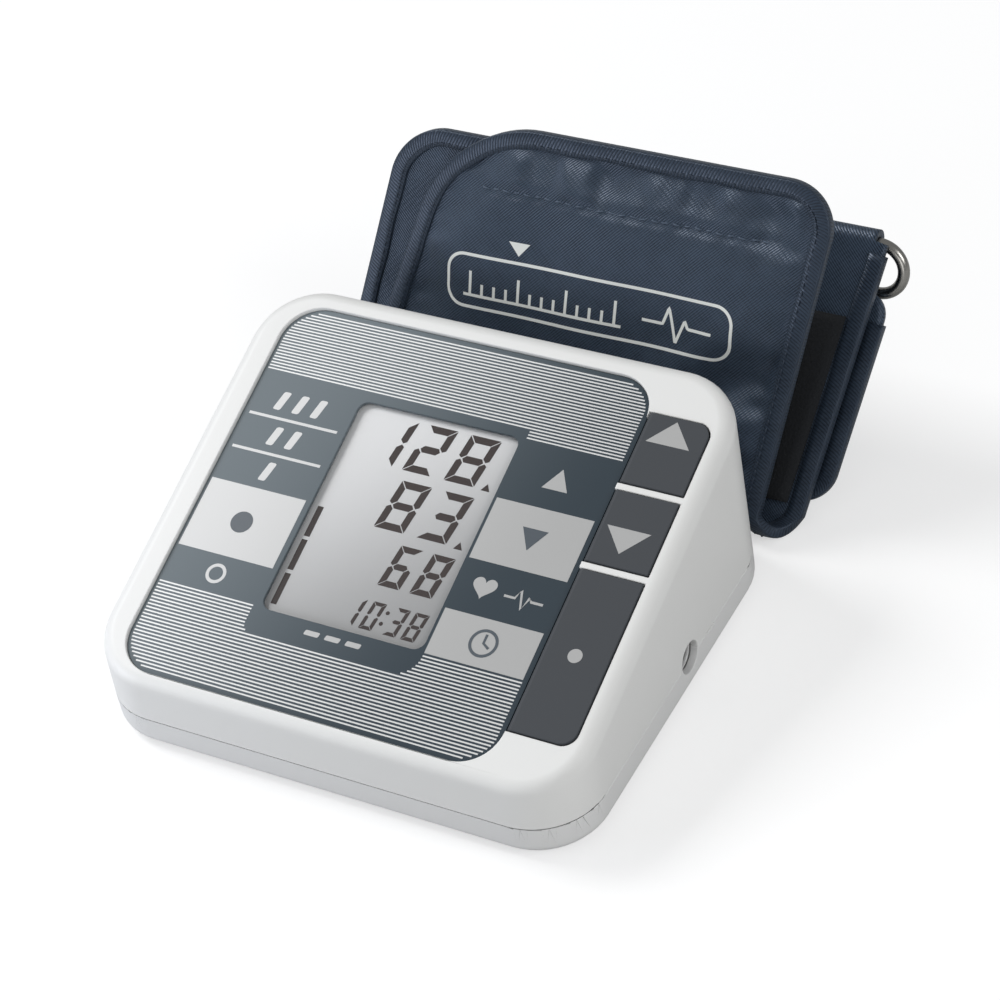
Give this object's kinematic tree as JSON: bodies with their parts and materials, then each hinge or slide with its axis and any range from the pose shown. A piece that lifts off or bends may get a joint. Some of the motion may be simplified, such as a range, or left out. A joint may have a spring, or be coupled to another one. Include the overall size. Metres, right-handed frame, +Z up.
{
  "type": "arm-in blood pressure monitor",
  "caption": "White wedge-shaped desk monitor with a sloped printed panel, large display, grey key strip and a folded navy arm cuff with ring behind it.",
  "frame": {"origin": "middle of the whole object's footprint, on the table", "axes": "+X to the right of someone facing the display, +Y from the front wall towards the cuff, +Z up"},
  "size_m": [0.157, 0.1804, 0.0915],
  "materials": {
    "case_white": "satin white ABS",
    "case_grey": "satin light grey ABS",
    "key_grey": "matt dark grey ABS",
    "panel_print": "printed polycarbonate overlay",
    "window": "clear acrylic",
    "lcd": "liquid crystal glass with a grey polariser",
    "inner_white": "moulded, matt",
    "inner_black": "moulded, matt",
    "board": "solder-masked laminate",
    "connector": "soft silicone strip",
    "steel": "zinc plated steel",
    "soft_grey": "soft matt rubber",
    "tube": "clear silicone",
    "cell": "plain shrink sleeve on a steel can",
    "cloth": "coated woven nylon",
    "binding": "woven binding tape",
    "hook_loop": "hook and loop fabric",
    "ring": "nickel plated steel wire"
  },
  "bodies": {
    "monitor": {"top_case": "case_white", "bottom_case": "case_grey", "rubber_feet": "soft_grey", "case_screws": "steel", "face_panel": "panel_print", "display_window": "window", "lcd_glass": "lcd", "lcd_holder": "inner_white", "lcd_connectors": "connector", "key_switches": "steel", "main_board": "board", "board_screws": "steel", "control_chip": "inner_black", "buzzer": "inner_black", "pressure_sensor": "inner_white", "pump_motor": "steel", "pump_head": "inner_black", "pump_cradle": "soft_grey", "exhaust_valve": "steel", "bleed_valve": "inner_white", "air_manifold": "inner_white", "pump_tube": "tube", "socket_tube": "tube", "sensor_tube": "tube", "air_socket": "soft_grey", "power_jack": "inner_black", "battery_cells": "cell", "battery_springs": "steel", "battery_contacts": "steel", "cuff_strip": "cloth", "cuff_underflap": "cloth", "cuff_bladder": "soft_grey", "cuff_back": "cloth", "cuff_binding": "binding", "d_ring": "ring", "hook_patch": "hook_loop", "loop_patch": "hook_loop", "cuff_air_port": "soft_grey"},
    "memory_key": {"memory_key": "key_grey"},
    "set_key": {"set_key": "key_grey"},
    "start_key": {"start_key": "key_grey"},
    "battery_cover": {"battery_cover": "case_grey"}
  },
  "joints": [
    {"name": "memory_key_press", "type": "slide", "parent": "monitor", "child": "memory_key", "axis": [0, 0.309, -0.9511], "range_m": [0, 0.0006], "stiffness_N_per_m": 2500},
    {"name": "set_key_press", "type": "slide", "parent": "monitor", "child": "set_key", "axis": [0, 0.309, -0.9511], "range_m": [0, 0.0006], "stiffness_N_per_m": 2500},
    {"name": "start_key_press", "type": "slide", "parent": "monitor", "child": "start_key", "axis": [0, 0.309, -0.9511], "range_m": [0, 0.0006], "stiffness_N_per_m": 2500},
    {"name": "battery_cover_swing", "type": "hinge", "parent": "monitor", "child": "battery_cover", "pos_m": [-0.02821, -0.03613, 0.0028], "axis": [-1, 0, 0], "range_deg": [0, 30]}
  ]
}
